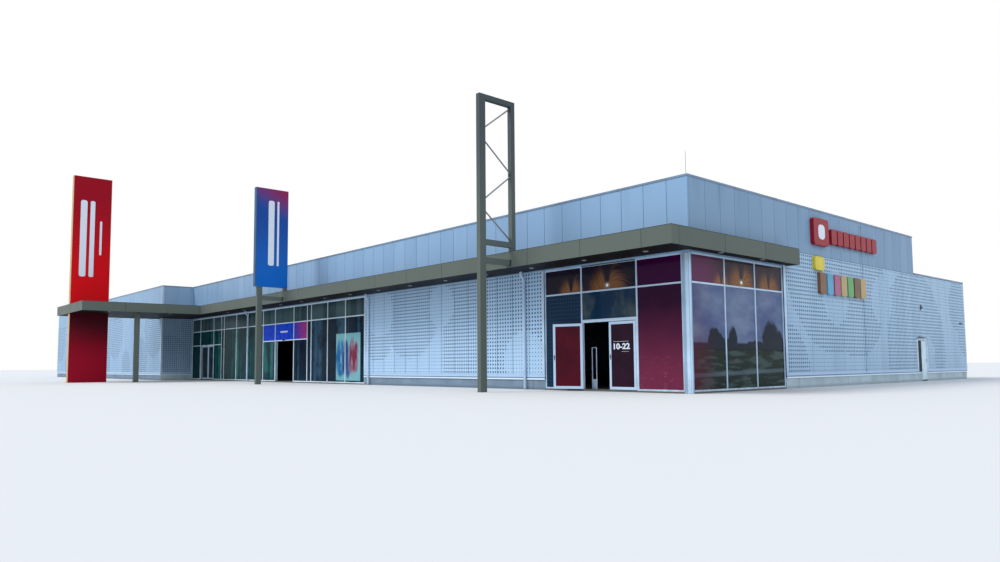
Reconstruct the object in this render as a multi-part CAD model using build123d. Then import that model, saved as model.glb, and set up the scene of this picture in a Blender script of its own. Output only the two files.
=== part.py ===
from build123d import *
import os

# Supermarket building as a 1:10 scale model: 100 mm here are 1 m of the real building.
# Lengths are laid out from the front right corner: +X runs right along the front,
# +Y runs to the rear and +Z is up. The finished pieces are centred on the footprint.

# Heights above the ground
floor_top = 6.0
plinth_top = 43.0
door_head = 265.0
transom = 378.0
glazing_head = 480.0
cladding_top = 550.0
coping_height = 7.0
parapet_height = 190.0
rear_roof_underside = 505.0
hall_roof_underside = 690.0
roof_thickness = 15.0

# Plan of the shell
wall = 20.0
plinth_setback = 2.0
coping_overhang = 2.0
hall_depth = 2000.0
rear_depth = 750.0
wing_length = 3660.0
wing_projection = 235.0
front_wall_length = 1381.0

# Cladding joints
front_module = 100.0
side_module = 96.0
first_front_joint = 85.0
first_side_joint = 106.0
joint_width = 1.5
joint_depth = 1.0

# Glazing: member width and depth, glass thickness, and the bays from right to left
member = 6.0
frame_depth = 8.0
frame_setback = 4.0
glass = 3.0
corner_post_width = 30.0
corner_post_depth = 13.0
corner_bays = (194.0, 266.0, 196.0)
side_bays = (207.0, 207.0, 207.0)
right_bays = (206.0, 205.0, 201.0, 51.0, 179.0)
entrance_b_bay = 266.0
middle_bays = (184.0, 42.0, 205.0, 205.0, 225.0, 51.0, 154.0)
entrance_a_bay = 272.0
left_bays = (175.0,)

# Door leaves, all alike in build
leaf_thickness = 5.0
leaf_stile = 10.0
leaf_glass = 2.0
meeting_gap = 2.0

# Sliding doors of the two shop entrances, hung inside the glazing
leaf_gap = 5.0
leaf_ground_gap = 3.0
leaf_overlap = 3.0
hanger_gap = 0.3
operator_height = 12.0
operator_depth = 12.0
operator_cover = 7.0
entrance_travel = 128.0

# Hinged doors: play round the leaf, set-back in the frame, and the hinges
door_gap = 2.0
door_recess = 1.0
hinge_axis = 1.0
hinge_radius = 1.7
hinge_clearance = 0.3
knuckle = 12.0
knuckle_inset = 30.0
hinge_plate = 5.0

# Pair of hinged doors at the glazed corner, the left leaf folded open
corner_jamb = 3.0
corner_door_rail = 5.0
corner_open_angle = 160.0

# Personnel door in the side wall, with a narrow light beside it
side_door_offset = 12.0
side_light_width = 48.0
side_light_setback = 1.5
side_door_width = 76.0
side_door_head = 215.0
door_frame = 5.0
door_frame_depth = 10.0
hood_rise = 8.0
hood_start = 5.0
hood_length = 90.0
hood_depth = 12.0
hood_thickness = 5.0
hood_edge = 1.0
lamp_height = 378.0
lamp_size = 8.0

# Canopy
canopy_front = 180.0
canopy_side = 60.0
canopy_side_length = 660.0
fascia_bottom = 482.0
fascia_top = 545.0
fascia = 4.0
soffit_recess = 4.0
deck_recess = 4.0
fascia_module = 270.0
first_fascia_joint = 120.0
wing_canopy_right = 4030.0
wing_canopy_front = 945.0
wing_canopy_overrun = 65.0
canopy_post = 30.0
canopy_post_inset = 55.0
canopy_post_y = 600.0

# Tall frames that stand across the canopy
blade_x = 703.0
sign_x = 2700.0
tube_width = 20.0
tube_depth = 30.0
rear_tube_depth = 20.0
rear_post_gap = 3.0
blade_top = 1145.0
blade_front = 336.0
beam_height = 20.0
cross_beam_bottom = 560.0
arm_bottom = 488.0
arm_height = 22.0
rod = 6.0
rod_ends = ((0.985, 0.798), (0.511, 0.71), (0.48, 0.288), (0.015, 0.207))
sign_bottom = 565.0
sign_thickness = 25.0
sign_front = 351.0

# Pylon that rises through the wing canopy
pylon_x = 4440.0
pylon_thickness = 40.0
pylon_front = 935.0
pylon_width = 245.0
pylon_height = 1460.0
pylon_clearance = 0.3

# Rainwater pipes and lightning rod
pipe = 10.0
pipe_standoff = 3.0
pipe_outlet_y = 26.0
pipe_neck = 12.0
pipe_swan = 22.0
pipe_shoe = 4.0
pipe_bend = 8.0
pipe_places = (801.0, 2019.0, 3594.0)
lightning_rod = 1.6
lightning_rod_height = 80.0
rod_foot = 8.0


def running(start, bays):
    """Member centre lines that follow one another to the left of a start line."""
    lines = [start]
    for bay in bays:
        lines.append(lines[-1] - bay)
    return lines


corner_lines = running(-(corner_post_width + member / 2), corner_bays)
front_wall_right = corner_lines[-1] - member / 2
front_wall_left = front_wall_right - front_wall_length
right_lines = running(front_wall_left - member / 2, right_bays)
middle_lines = running(right_lines[-1] - entrance_b_bay, middle_bays)
left_lines = running(middle_lines[-1] - entrance_a_bay, left_bays)
side_start = corner_post_depth + member / 2
side_lines = [side_start + sum(side_bays[:n]) for n in range(len(side_bays) + 1)]
side_wall_start = side_lines[-1] + member / 2

hall_left = left_lines[-1] - member / 2
wing_left = hall_left - wing_length
rear = hall_depth + rear_depth
parapet_top = cladding_top + parapet_height
side_light_start = hall_depth + side_door_offset
side_door_start = side_light_start + side_light_width
side_door_end = side_door_start + side_door_width
soffit = fascia_bottom + soffit_recess
deck_top = fascia_top - deck_recess
left_end = wing_left - coping_overhang
rear_end = rear + coping_overhang
centre = Pos(-(left_end + canopy_side) / 2, -(rear_end - wing_canopy_front) / 2, 0)


def block(x, y, z):
    """Box between two limits on each axis."""
    size = [limits[1] - limits[0] for limits in (x, y, z)]
    middle = [(limits[1] + limits[0]) / 2 for limits in (x, y, z)]
    return Pos(*middle) * Box(*size)


def steps(first, last, step):
    """Places from first towards last, one step apart."""
    sign = 1 if last > first else -1
    count = int(abs(last - first) / step) + 1
    return [first + sign * step * n for n in range(count)]


def front_joints(x, z, face):
    """Vertical joints in a wall that faces the front, between two limits in X."""
    places = steps(-first_front_joint, wing_left, front_module)
    places = [p for p in places if x[0] + member < p < x[1] - member]
    half = joint_width / 2
    return [block((p - half, p + half), (face, face + joint_depth), z) for p in places]


def side_joints(y, z, face):
    """Vertical joints in a wall that faces the right, between two limits in Y."""
    places = steps(first_side_joint, rear, side_module)
    places = [p for p in places if y[0] + member < p < y[1] - member]
    half = joint_width / 2
    return [block((face - joint_depth, face), (p - half, p + half), z) for p in places]


def plinths():
    """Concrete beams under the clad walls, set back behind the cladding."""
    back = plinth_setback
    z = (0, plinth_top)
    front = [block((front_wall_left, front_wall_right), (back, wall), z)]
    side = [block((-wall, -back), (side_wall_start, side_door_start), z)]
    side.append(block((-wall, -back), (side_door_end, rear - wall), z))
    behind = [block((hall_left + back, -back), (rear - wall, rear - back), z)]
    behind.append(block((hall_left + back, hall_left + wall), (hall_depth, rear - wall), z))
    inner = (hall_left - wall, hall_left - back)
    wing = [block(inner, (back - wing_projection, wall), z)]
    wing.append(block((wing_left + back, inner[0]), (back - wing_projection, wall - wing_projection), z))
    wing.append(block((wing_left + back, wing_left + wall), (wall - wing_projection, hall_depth - wall), z))
    wing.append(block((wing_left + back, hall_left + back), (hall_depth - wall, hall_depth - back), z))
    return front, side, behind, wing


def floors(plinth_blocks):
    """Ground slabs of the hall and the wing, inside the plinths."""
    back = plinth_setback
    hall = block((hall_left, -back), (back, rear - back), (0, floor_top))
    wing = block((wing_left + back, hall_left), (wall, hall_depth - back), (0, floor_top))
    wing += block((wing_left + back, hall_left - wall), (back - wing_projection, wall), (0, floor_top))
    hall -= corner_post_block()
    for beam in plinth_blocks:
        hall -= beam
        wing -= beam
    return hall, wing


def corner_post_block():
    """White post at the glazed corner."""
    return block((-corner_post_width, 0), (0, corner_post_depth), (0, glazing_head))


def shell():
    """Clad walls up to the canopy, and the smooth upper walls over them."""
    low = (plinth_top, cladding_top)
    high = (plinth_top, parapet_top)
    upper = (cladding_top, parapet_top)
    bay = (front_wall_left, front_wall_right)
    front = block(bay, (0, wall), (plinth_top, glazing_head))
    front -= front_joints(bay, (plinth_top, glazing_head), 0)
    near = (side_wall_start, side_light_start)
    doorway = (side_light_start, side_door_end)
    far = (side_door_end, rear)
    side_near = block((-wall, 0), near, low) - side_joints(near, low, 0)
    side_far = block((-wall, 0), far, low) - side_joints(far, low, 0)
    lintel = block((-wall, 0), doorway, (side_door_head, cladding_top))
    lintel -= side_joints(doorway, (side_door_head, cladding_top), 0)
    behind = block((hall_left, -wall), (rear - wall, rear), low)
    behind += block((hall_left, hall_left + wall), (hall_depth, rear - wall), low)
    parapet = block((hall_left, 0), (0, wall), (glazing_head, parapet_top))
    parapet -= front_joints((hall_left, 0), upper, 0)
    flank = block((-wall, 0), (wall, hall_depth), upper)
    flank += block((-wall, 0), (wall, side_wall_start), (glazing_head, cladding_top))
    flank -= side_joints((0, hall_depth), upper, 0)
    step = block((hall_left, -wall), (hall_depth - wall, hall_depth), (rear_roof_top(), parapet_top))
    face = -wing_projection
    wing_front = block((wing_left, hall_left), (face, face + wall), high)
    wing_front -= front_joints((wing_left, hall_left), high, face)
    wing_front += block((hall_left - wall, hall_left), (face + wall, wall), high)
    wing_rear = block((wing_left, wing_left + wall), (face + wall, hall_depth - wall), high)
    wing_rear += block((wing_left, hall_left), (hall_depth - wall, hall_depth), high)
    return {
        "front_wall": front,
        "side_wall_front": side_near,
        "side_wall_rear": side_far,
        "side_door_lintel": lintel,
        "rear_wall": behind,
        "front_parapet": parapet,
        "side_parapet": flank,
        "rear_step_wall": step,
        "wing_front_wall": wing_front,
        "wing_rear_wall": wing_rear,
    }


def rear_roof_top():
    """Top of the low roof at the rear."""
    return rear_roof_underside + roof_thickness


def roofs():
    """Flat roofs between the walls."""
    hall_z = (hall_roof_underside, hall_roof_underside + roof_thickness)
    rear_z = (rear_roof_underside, rear_roof_top())
    inner_left = hall_left - wall
    hall = block((inner_left, -wall), (wall, hall_depth - wall), hall_z)
    wing = block((wing_left + wall, inner_left), (wall - wing_projection, hall_depth - wall), hall_z)
    low = block((hall_left + wall, -wall), (hall_depth - wall, rear - wall), rear_z)
    return hall, wing, low


def coping_strip(x, y, base):
    """Metal cap over one straight wall, wider than the wall by its overhang."""
    lip = coping_overhang
    return block((x[0] - lip, x[1] + lip), (y[0] - lip, y[1] + lip), (base, base + coping_height))


def copings():
    """Caps of the hall, the wing and the low rear walls."""
    lip = coping_overhang
    start = hall_left + 2 * lip
    hall = coping_strip((start, 0), (0, wall), parapet_top)
    hall += coping_strip((-wall, 0), (0, hall_depth), parapet_top)
    hall += coping_strip((start, 0), (hall_depth - wall, hall_depth), parapet_top)
    face = -wing_projection
    wing = coping_strip((hall_left - wall, hall_left), (face, wall), parapet_top)
    wing += coping_strip((wing_left, hall_left), (face, face + wall), parapet_top)
    wing += coping_strip((wing_left, wing_left + wall), (face, hall_depth), parapet_top)
    wing += coping_strip((wing_left, hall_left), (hall_depth - wall, hall_depth), parapet_top)
    low = coping_strip((-wall, 0), (hall_depth + lip, rear), cladding_top)
    low += coping_strip((hall_left, 0), (rear - wall, rear), cladding_top)
    low += coping_strip((hall_left, hall_left + wall), (hall_depth + lip, rear), cladding_top)
    return hall, wing, low


def clear_spans(lines):
    """Clear openings between members whose centre lines are given."""
    ordered = sorted(lines)
    return [(a + member / 2, b - member / 2) for a, b in zip(ordered, ordered[1:])]


def glazed_screen(lines, rails, jambs=True):
    """Frame of posts and rails with a pane in each opening, facing the front.

    Without jambs the rails run between the posts of the screens on both sides.
    """
    reach = member / 2 if jambs else -member / 2
    x = (min(lines) - reach, max(lines) + reach)
    z = (min(rails) - member / 2, max(rails) + member / 2)
    frame = block(x, (frame_setback, frame_setback + frame_depth), z)
    middle = frame_setback + frame_depth / 2
    panes = []
    for span in clear_spans(lines):
        for rise in clear_spans(rails):
            frame -= block(span, (frame_setback, frame_setback + frame_depth), rise)
            panes.append(block(span, (middle - glass / 2, middle + glass / 2), rise))
    return frame, panes


def rail_lines(*levels):
    """Rail centre lines from the floor, through the levels between, up to the head."""
    return [floor_top + member / 2, *levels, glazing_head - member / 2]


def to_side(shape):
    """Turn a piece drawn along the front into the right-hand wall."""
    return Rot(0, 0, 90) * shape


def corner_glazing():
    """Glazed corner: front screens beside and over the door, and the side screen."""
    door_lines = corner_lines[1:3]
    head_rails = [door_head + member / 2, transom, glazing_head - member / 2]
    right, right_panes = glazed_screen(corner_lines[:2], rail_lines(transom))
    left, left_panes = glazed_screen(corner_lines[2:], rail_lines(transom))
    head, head_panes = glazed_screen(door_lines, head_rails, jambs=False)
    side, side_panes = glazed_screen(side_lines, rail_lines(transom))
    return {
        "corner_post": corner_post_block(),
        "corner_frame_sides": [right, left],
        "corner_frame_head": head,
        "corner_side_frame": to_side(side),
        "corner_front_glass": right_panes + left_panes + head_panes,
        "corner_side_glass": [to_side(pane) for pane in side_panes],
    }


def storefront():
    """Shop front left of the clad bay, with two entrances."""
    low_rail = door_head + member / 2
    head_rails = [low_rail, transom, glazing_head - member / 2]
    right_plain, glass_a = glazed_screen(right_lines[:-1], rail_lines(transom))
    right_light, glass_b = glazed_screen(right_lines[-2:], rail_lines(low_rail, transom))
    left_light, glass_c = glazed_screen(middle_lines[:2], rail_lines(low_rail, transom))
    middle_plain, glass_d = glazed_screen(middle_lines[1:-1], rail_lines(transom))
    right_of_a, glass_e = glazed_screen(middle_lines[-2:], rail_lines(low_rail, transom))
    left_of_a, glass_f = glazed_screen(left_lines, rail_lines(low_rail, transom))
    head_b, glass_g = glazed_screen([right_lines[-1], middle_lines[0]], head_rails, jambs=False)
    head_a, glass_h = glazed_screen([middle_lines[-1], left_lines[0]], head_rails, jambs=False)
    head_b += operator(entrance_closed(right_lines[-1], entrance_b_bay))
    head_a += operator(entrance_closed(middle_lines[-1], entrance_a_bay))
    sign = [glass_b.pop(1), glass_c.pop(1), glass_g.pop(0)]
    frames = [right_plain + right_light, left_light + middle_plain + right_of_a, left_of_a]
    return {
        "storefront_frames": frames,
        "entrance_heads": [head_b, head_a],
        "entrance_b_sign": sign,
        "storefront_glass_right": glass_a + glass_b,
        "storefront_glass_middle": glass_c + glass_d + glass_e,
        "entrance_glass": glass_f + glass_g + glass_h,
    }


def operator(closed):
    """Housing of a sliding door drive, on the inner face of the frame over both leaves."""
    reach = entrance_travel + operator_cover
    inner = frame_setback + frame_depth
    run = (closed[0][0] - reach, closed[1][1] + reach)
    return block(run, (inner, inner + operator_depth), (door_head, door_head + operator_height))


def glazed_field(x, front, rise):
    """Hollows cut from both faces of a leaf, which leave the glass between stiles and rails."""
    field = (x[0] + leaf_stile, x[1] - leaf_stile)
    light = (rise[0] + leaf_stile, rise[1] - leaf_stile)
    recess = (leaf_thickness - leaf_glass) / 2
    back = front + leaf_thickness
    return [block(field, (front, front + recess), light), block(field, (back - recess, back), light)]


def sliding_leaf(x):
    """Leaf that hangs from the drive housing, clear behind the frame."""
    front = frame_setback + frame_depth + leaf_gap
    rise = (floor_top + leaf_ground_gap, door_head - hanger_gap)
    return block(x, (front, front + leaf_thickness), rise) - glazed_field(x, front, rise)


def entrance_closed(right_line, bay):
    """Limits in X of the left and the right leaf of an entrance when shut."""
    outer_right = right_line - member / 2 + leaf_overlap
    outer_left = right_line - bay + member / 2 - leaf_overlap
    middle = (outer_left + outer_right) / 2
    return (outer_left, middle - meeting_gap / 2), (middle + meeting_gap / 2, outer_right)


def sliding_doors():
    """Leaves of the shop entrances at rest: entrance B open, entrance A shut."""
    b_left, b_right = entrance_closed(right_lines[-1], entrance_b_bay)
    a_left, a_right = entrance_closed(middle_lines[-1], entrance_a_bay)
    out = entrance_travel
    return {
        "entrance_b_leaf_left": sliding_leaf((b_left[0] - out, b_left[1] - out)),
        "entrance_b_leaf_right": sliding_leaf((b_right[0] + out, b_right[1] + out)),
        "entrance_a_leaf_left": sliding_leaf(a_left),
        "entrance_a_leaf_right": sliding_leaf(a_right),
    }


def hinge_half(axis, reach, face, level):
    """Knuckle on the turning axis, with the plate that fixes it to the face behind it."""
    x, y = axis
    barrel = Pos(x, y, level + knuckle / 2) * Cylinder(hinge_radius, knuckle)
    return barrel + block(sorted((x, x + reach)), (y, face), (level, level + knuckle))


def hang(frame, frame_face, hinge_x, free_x, rise, levels):
    """Hang a leaf in its frame: both with their halves of each hinge, the leaf shut."""
    face = frame_face + door_recess
    leaf = block(sorted((hinge_x, free_x)), (face, face + leaf_thickness), rise)
    plate = hinge_plate if free_x > hinge_x else -hinge_plate
    axis = (hinge_x, frame_face - hinge_axis)
    for level in levels:
        leaf += hinge_half(axis, plate, face, level)
        frame += hinge_half(axis, -plate, frame_face, level - knuckle - hinge_clearance)
    return frame, leaf


def corner_doors():
    """Pair of hinged glass doors at the corner in a frame of their own."""
    right = corner_lines[1] - member / 2
    left = corner_lines[2] + member / 2
    depth = (frame_setback, frame_setback + frame_depth)
    frame = block((left, right), depth, (floor_top, door_head))
    inner = (left + corner_jamb, right - corner_jamb)
    frame -= block(inner, depth, (floor_top, door_head - corner_door_rail))
    rise = (floor_top + door_gap, door_head - corner_door_rail - door_gap)
    levels = (rise[0] + knuckle_inset, (rise[0] + rise[1]) / 2, rise[1] - knuckle_inset - knuckle)
    middle = (inner[0] + inner[1]) / 2
    left_edges = (inner[0] + door_gap, middle - meeting_gap / 2)
    right_edges = (inner[1] - door_gap, middle + meeting_gap / 2)
    frame, left_leaf = hang(frame, frame_setback, *left_edges, rise, levels)
    frame, right_leaf = hang(frame, frame_setback, *right_edges, rise, levels)
    front = frame_setback + door_recess
    left_leaf -= glazed_field(left_edges, front, rise)
    right_leaf -= glazed_field(sorted(right_edges), front, rise)
    hinge = Pos(left_edges[0], frame_setback - hinge_axis, 0)
    swing = hinge * Rot(0, 0, -corner_open_angle) * hinge.inverse()
    return {
        "corner_door_frame": frame,
        "corner_leaf_left": swing * left_leaf,
        "corner_leaf_right": right_leaf,
    }


def side_door():
    """Personnel door: frame with a narrow light, hinged leaf, hood and lamp."""
    depth = (0, door_frame_depth)
    head = side_door_head - door_frame
    frame = block((side_door_start, side_door_end), depth, (floor_top, side_door_head))
    frame += block((side_light_start, side_door_start), depth, (plinth_top, side_door_head))
    inner = (side_door_start + door_frame, side_door_end - door_frame)
    light = (side_light_start + door_frame, side_door_start)
    light_rise = (plinth_top + door_frame, head)
    frame -= block(inner, depth, (floor_top, head))
    frame -= block(light, depth, light_rise)
    pane = block(light, (side_light_setback, side_light_setback + glass), light_rise)
    swing = (inner[0] + door_gap, inner[1] - door_gap)
    rise = (floor_top + door_gap, head - door_gap)
    levels = (rise[0] + knuckle_inset, rise[1] - knuckle_inset - knuckle)
    frame, leaf = hang(frame, 0, *swing, rise, levels)
    return {
        "side_door_frame": to_side(frame),
        "side_light_pane": to_side(pane),
        "side_door_leaf": to_side(leaf),
        "side_door_fittings": side_door_fittings(),
    }


def side_door_fittings():
    """Sloping hood over the side door, and the lamp on the wall above."""
    start = side_light_start + hood_start
    slope = hood_thickness - hood_edge
    profile = Polyline((0, 0), (hood_depth, 0), (hood_depth, hood_edge), (0, hood_edge + slope), close=True)
    hood = extrude(Plane.XZ.offset(-start) * make_face(profile), -hood_length)
    hood = Pos(0, 0, side_door_head + hood_rise) * hood
    middle = (side_light_start + side_door_end) / 2
    lamp_y = (middle - lamp_size, middle + lamp_size)
    lamp = block((0, lamp_size), lamp_y, (lamp_height, lamp_height + lamp_size))
    return [hood, lamp]


def canopy_plan(inset, z):
    """Space within the main canopy's edge, drawn in by an inset."""
    right = canopy_side - inset
    front = inset - canopy_front
    plan = block((-wing_canopy_right, right), (front, 0), z)
    return plan + block((0, right), (0, canopy_side_length - inset), z)


def canopy():
    """Canopy along the front and round the corner, and the deep one at the wing."""
    z = (fascia_bottom, fascia_top)
    deck_z = (soffit, deck_top)
    right = canopy_side
    edge = -canopy_front
    left = -wing_canopy_right
    main = canopy_plan(0, z) - canopy_plan(fascia, z)
    half = joint_width / 2
    for place in steps(right - first_fascia_joint, left + fascia_module / 2, fascia_module):
        main -= block((place - half, place + half), (edge, edge + joint_depth), z)
    for place in steps(edge + first_fascia_joint / 3, canopy_side_length, fascia_module):
        main -= block((right - joint_depth, right), (place - half, place + half), z)
    deck = canopy_plan(fascia, deck_z) + block((left - fascia, left), (edge + fascia, 0), deck_z)
    front = -wing_canopy_front
    end = hall_left - wing_canopy_overrun
    wing = block((left - fascia, left), (front, edge + fascia), z)
    wing += block((end, left), (front, front + fascia), z)
    wing += block((end, end + fascia), (front, -wing_projection), z)
    wing_deck = block((end + fascia, left - fascia), (front + fascia, -wing_projection), deck_z)
    wing_deck += block((hall_left, left - fascia), (-wing_projection, 0), deck_z)
    gap = pylon_clearance
    pylon_x_limits = pylon_limits()
    hole_x = (pylon_x_limits[0] - gap, pylon_x_limits[1] + gap)
    wing_deck -= block(hole_x, (-pylon_front - gap, pylon_width - pylon_front + gap), deck_z)
    post_x = left - canopy_post_inset
    post = block((post_x - canopy_post, post_x), (-canopy_post_y, canopy_post - canopy_post_y), (0, soffit))
    return {
        "canopy_fascia": main,
        "canopy_deck": deck,
        "wing_canopy_fascia": wing,
        "wing_canopy_deck": wing_deck,
        "canopy_post": post,
    }


def cross_frame(x, top):
    """Welded tube frame across the canopy edge, up to the given height."""
    width = (x - tube_width / 2, x + tube_width / 2)
    rear_post = rear_post_limits()
    front_post = (-blade_front, tube_depth - blade_front)
    frame = block(width, front_post, (0, top))
    frame += block(width, (front_post[1], -canopy_front), (arm_bottom, arm_bottom + arm_height))
    return frame, block(width, rear_post, (deck_top, top)), width, (front_post[1], rear_post[0])


def rear_post_limits():
    """Limits in Y of the posts that stand on the deck just behind the fascia."""
    face = fascia - canopy_front + rear_post_gap
    return face, face + rear_tube_depth


def open_frame():
    """Open frame with cross beams, and its zigzag bracing as a piece of its own."""
    front, back, width, gap = cross_frame(-blade_x, blade_top)
    frame = front + back
    frame += block(width, gap, (blade_top - beam_height, blade_top))
    frame += block(width, gap, (cross_beam_bottom, cross_beam_bottom + beam_height))
    clear = block(width, gap, (cross_beam_bottom + beam_height, blade_top - beam_height))
    low = cross_beam_bottom + beam_height
    span = blade_top - beam_height - low
    bracing = []
    for at_rear, at_front in rod_ends:
        start = Vector(-blade_x, gap[1], low + at_rear * span)
        end = Vector(-blade_x, gap[0], low + at_front * span)
        along = (end - start).normalized()
        length = (end - start).length + 2 * rod
        bar = Plane(origin=start - along * rod, z_dir=along) * extrude(Circle(rod / 2), length)
        bracing.append(bar & clear)
    return frame, bracing


def sign_frame():
    """Posts under the lit sign, and the sign box that stands on them."""
    front, back, width, gap = cross_frame(-sign_x, sign_bottom)
    sign_x_limits = (-sign_x - sign_thickness / 2, -sign_x + sign_thickness / 2)
    box = block(sign_x_limits, (-sign_front, rear_post_limits()[1]), (sign_bottom, blade_top))
    return [front, back], box


def pylon_limits():
    """Limits in X of the red pylon."""
    return -pylon_x - pylon_thickness / 2, -pylon_x + pylon_thickness / 2


def pylon():
    """Red pylon from the ground up through the canopy."""
    return block(pylon_limits(), (-pylon_front, pylon_width - pylon_front), (0, pylon_height))


def downpipes():
    """Pipes from the soffit, by a swan neck to the wall and down to a shoe."""
    run_y = -(pipe_standoff + pipe / 2)
    pipes = []
    for place in pipe_places:
        neck = soffit - pipe_neck
        points = [
            (-place, -pipe_outlet_y, soffit),
            (-place, -pipe_outlet_y, neck),
            (-place, run_y, neck - pipe_swan),
            (-place, run_y, pipe_shoe),
        ]
        path = FilletPolyline(*points, radius=pipe_bend)
        section = Plane(origin=points[0], z_dir=(0, 0, -1)) * Circle(pipe / 2)
        pipes.append(sweep(section, path=path))
    return pipes


def lightning():
    """Air terminal on the coping at the front right corner."""
    top = parapet_top + coping_height
    rod_at = Pos(-wall / 2, wall / 2, top)
    foot = extrude(Rectangle(rod_foot, rod_foot), 2)
    return rod_at * (foot + extrude(Circle(lightning_rod / 2), lightning_rod_height))


def assembly():
    """Every named piece of the building."""
    front_beam, side_beams, rear_beams, wing_beams = plinths()
    hall_floor, wing_floor = floors(front_beam + side_beams + rear_beams + wing_beams)
    hall_roof, wing_roof, rear_roof = roofs()
    hall_coping, wing_coping, rear_coping = copings()
    blade, bracing = open_frame()
    sign_posts, sign_box = sign_frame()
    pieces = {
        "floor_hall": hall_floor,
        "floor_wing": wing_floor,
        "plinth_hall": front_beam + side_beams,
        "plinth_rear": rear_beams[0] + rear_beams[1],
        "plinth_wing": wing_beams[0] + wing_beams[1] + wing_beams[2] + wing_beams[3],
        "roof_hall": hall_roof,
        "roof_wing": wing_roof,
        "roof_rear": rear_roof,
        "coping_hall": hall_coping,
        "coping_wing": wing_coping,
        "coping_rear": rear_coping,
        "open_frame": blade,
        "open_frame_bracing": bracing,
        "sign_posts": sign_posts,
        "lit_sign": sign_box,
        "red_pylon": pylon(),
        "downpipes": downpipes(),
        "lightning_rod": lightning(),
    }
    groups = [shell(), corner_glazing(), corner_doors(), storefront(), sliding_doors()]
    groups += [side_door(), canopy()]
    for group in groups:
        pieces.update(group)
    return pieces


os.makedirs("parts", exist_ok=True)
for name, shape in assembly().items():
    solids = shape if isinstance(shape, list) else [shape]
    solids = [solid for item in solids for solid in item.solids()]
    export_step(centre * Compound(children=solids), f"parts/{name}.step")
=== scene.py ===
import math

import bmesh
import bpy
from mathutils import Matrix, Vector


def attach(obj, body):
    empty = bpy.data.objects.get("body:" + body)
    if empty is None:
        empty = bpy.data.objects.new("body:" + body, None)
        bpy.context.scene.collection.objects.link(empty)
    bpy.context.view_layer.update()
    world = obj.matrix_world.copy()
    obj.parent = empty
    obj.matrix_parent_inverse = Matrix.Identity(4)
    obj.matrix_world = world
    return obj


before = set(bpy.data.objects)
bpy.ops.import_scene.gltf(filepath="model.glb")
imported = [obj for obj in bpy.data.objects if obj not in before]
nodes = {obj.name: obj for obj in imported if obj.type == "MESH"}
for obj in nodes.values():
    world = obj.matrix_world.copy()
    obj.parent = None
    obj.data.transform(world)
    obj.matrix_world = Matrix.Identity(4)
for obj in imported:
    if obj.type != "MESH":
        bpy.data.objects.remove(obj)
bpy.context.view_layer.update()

# Plinths and ground slabs: precast concrete beams on a floated slab. The beams have butt joints,
# fine pores, rain streaks from the flashing above and a darker splash band at the ground. The plinths'
# front and rear faces carry painted shade.
# All places below are metres from the building's front right corner at the ground, at 1:10.
corner = Vector((4.151, -0.9035, 0.0))
beam_length = 0.62
slab_bay = 0.60
butt_joint = 0.0018
butt_shift = 0.021


class Value:
    """A shader socket that takes part in sums like a number."""

    def __init__(self, finish, socket):
        self.finish = finish
        self.socket = socket

    def sum(self, operation, a, b=0.0):
        return self.finish.node("ShaderNodeMath", {"operation": operation}, {0: a, 1: b})

    def __add__(self, other):
        return self.sum("ADD", self, other)

    def __sub__(self, other):
        return self.sum("SUBTRACT", self, other)

    def __rsub__(self, other):
        return self.sum("SUBTRACT", other, self)

    def __mul__(self, other):
        return self.sum("MULTIPLY", self, other)

    def __truediv__(self, other):
        return self.sum("DIVIDE", self, other)

    def __pow__(self, other):
        return self.sum("POWER", self, other)

    def __mod__(self, other):
        return self.sum("FLOORED_MODULO", self, other)

    def __lt__(self, other):
        return self.sum("LESS_THAN", self, other)

    def __gt__(self, other):
        return self.sum("GREATER_THAN", self, other)

    def __abs__(self):
        return self.sum("ABSOLUTE", self)

    __radd__ = __add__
    __rmul__ = __mul__

    def floor(self):
        return self.sum("FLOOR", self)

    def at_most(self, other):
        return self.sum("MINIMUM", self, other)

    def at_least(self, other):
        return self.sum("MAXIMUM", self, other)

    def between(self, low, high):
        """0 at low, 1 at high, and smooth between."""
        inputs = {"Value": self, "From Min": low, "From Max": high}
        return self.finish.node("ShaderNodeMapRange", {"interpolation_type": "SMOOTHSTEP"}, inputs)

    def lines(self, step, width, first=0.0):
        """1 on lines of a width that follow a first one, a step apart, and 0 elsewhere."""
        return abs((self - (first - step / 2)) % step - step / 2) < width / 2


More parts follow.
